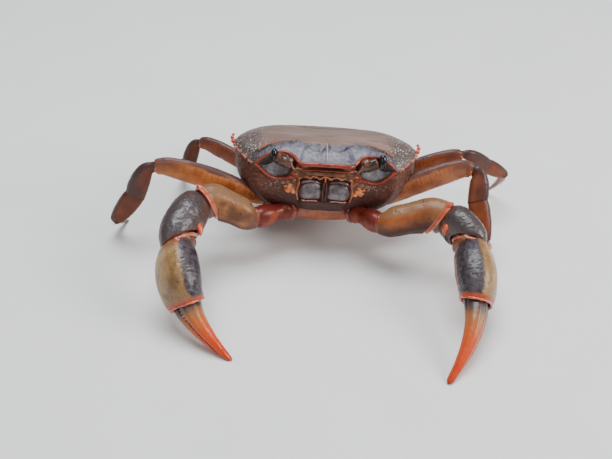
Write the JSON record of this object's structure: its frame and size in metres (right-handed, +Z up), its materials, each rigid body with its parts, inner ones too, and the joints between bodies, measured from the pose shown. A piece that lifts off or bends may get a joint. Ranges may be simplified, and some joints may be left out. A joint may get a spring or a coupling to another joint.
{
  "type": "freshwater crab",
  "caption": "Freshwater crab standing with its front raised and its claws spread and resting on the ground; a still life-size model.",
  "frame": {"origin": "middle of the footprint, at the level of the feet", "axes": "-Y is the way the crab faces, +X is the crab's left, +Z is up"},
  "size_m": [0.1132, 0.1068, 0.032],
  "materials": {
    "shell": "satin",
    "breast": "satin",
    "mouth": "satin",
    "stalk": "satin",
    "eye": "gloss",
    "leg": "satin",
    "leg_tip": "satin",
    "arm": "satin",
    "wrist": "gloss",
    "hand": "gloss",
    "finger": "gloss"
  },
  "bodies": {
    "root": {"abdomen": "breast", "arm_left_base": "arm", "arm_left_carpus": "wrist", "arm_left_finger": "finger", "arm_left_merus": "arm", "arm_left_palm": "hand", "arm_right_base": "arm", "arm_right_carpus": "wrist", "arm_right_finger": "finger", "arm_right_merus": "arm", "arm_right_palm": "hand", "carapace": "shell", "eye_left": "eye", "eye_right": "eye", "eyestalk_left": "stalk", "eyestalk_right": "stalk", "leg1_left_carpus": "leg", "leg1_left_coxa": "leg", "leg1_left_dactylus": "leg_tip", "leg1_left_merus": "leg", "leg1_left_propodus": "leg", "leg1_right_carpus": "leg", "leg1_right_coxa": "leg", "leg1_right_dactylus": "leg_tip", "leg1_right_merus": "leg", "leg1_right_propodus": "leg", "leg2_left_carpus": "leg", "leg2_left_coxa": "leg", "leg2_left_dactylus": "leg_tip", "leg2_left_merus": "leg", "leg2_left_propodus": "leg", "leg2_right_carpus": "leg", "leg2_right_coxa": "leg", "leg2_right_dactylus": "leg_tip", "leg2_right_merus": "leg", "leg2_right_propodus": "leg", "leg3_left_carpus": "leg", "leg3_left_coxa": "leg", "leg3_left_dactylus": "leg_tip", "leg3_left_merus": "leg", "leg3_left_propodus": "leg", "leg3_right_carpus": "leg", "leg3_right_coxa": "leg", "leg3_right_dactylus": "leg_tip", "leg3_right_merus": "leg", "leg3_right_propodus": "leg", "leg4_left_carpus": "leg", "leg4_left_coxa": "leg", "leg4_left_dactylus": "leg_tip", "leg4_left_merus": "leg", "leg4_left_propodus": "leg", "leg4_right_carpus": "leg", "leg4_right_coxa": "leg", "leg4_right_dactylus": "leg_tip", "leg4_right_merus": "leg", "leg4_right_propodus": "leg", "maxilliped_left": "mouth", "maxilliped_right": "mouth", "sternum": "breast"}
  },
  "joints": []
}
